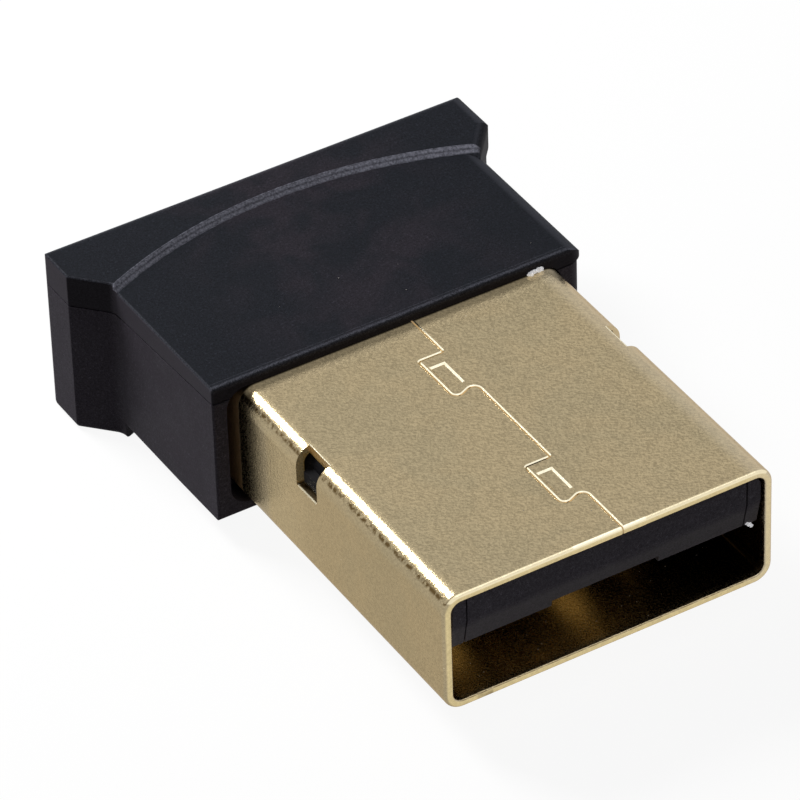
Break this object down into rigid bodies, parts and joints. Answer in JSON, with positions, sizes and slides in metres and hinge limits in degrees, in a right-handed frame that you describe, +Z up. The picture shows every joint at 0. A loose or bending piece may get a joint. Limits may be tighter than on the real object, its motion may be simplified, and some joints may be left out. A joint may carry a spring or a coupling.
{
  "type": "usb bluetooth adapter",
  "caption": "Nano radio adapter: a gold-plated folded-sheet plug set in a short black two-part housing whose rear end flares out into a thicker grip.",
  "frame": {"origin": "middle of the adapter's plan, on the surface that its foot rests on", "axes": "+Z up from the foot to the seam side of the plug; the plug's mouth faces -Y, so it plugs in along -Y; width along X"},
  "size_m": [0.016, 0.0214, 0.0062],
  "materials": {
    "gold_plate": "satin gold flash over folded sheet, slightly wavy",
    "carrier_plastic": "moulded, matte",
    "contact_gold": "bright gold flash",
    "solder": "bright solder",
    "board": "green solder mask",
    "chip_body": "moulded, matte",
    "crystal_can": "satin can",
    "ceramic_tan": "fired ceramic",
    "ceramic_white": "glazed ceramic",
    "ceramic_grey": "fired ceramic",
    "lamp_body": "clear resin over a white body",
    "housing_plastic": "fine spark-eroded texture"
  },
  "bodies": {
    "root": {"plug_shell": "gold_plate", "contact_carrier": "carrier_plastic", "power_contact": "contact_gold", "data_minus_contact": "contact_gold", "data_plus_contact": "contact_gold", "ground_contact": "contact_gold", "contact_solder": "solder", "shell_solder": "solder", "circuit_board": "board", "radio_chip": "chip_body", "crystal": "crystal_can", "crystal_load_capacitor_front": "ceramic_tan", "crystal_load_capacitor_rear": "ceramic_tan", "chip_antenna": "ceramic_white", "antenna_inductor": "ceramic_grey", "antenna_capacitor": "ceramic_tan", "voltage_regulator": "chip_body", "supply_capacitor": "ceramic_tan", "regulator_capacitor": "ceramic_tan", "core_capacitor": "ceramic_tan", "ferrite_bead": "ceramic_grey", "status_led": "lamp_body", "led_resistor": "chip_body", "housing_base": "housing_plastic", "housing_lid": "housing_plastic"}
  },
  "joints": []
}
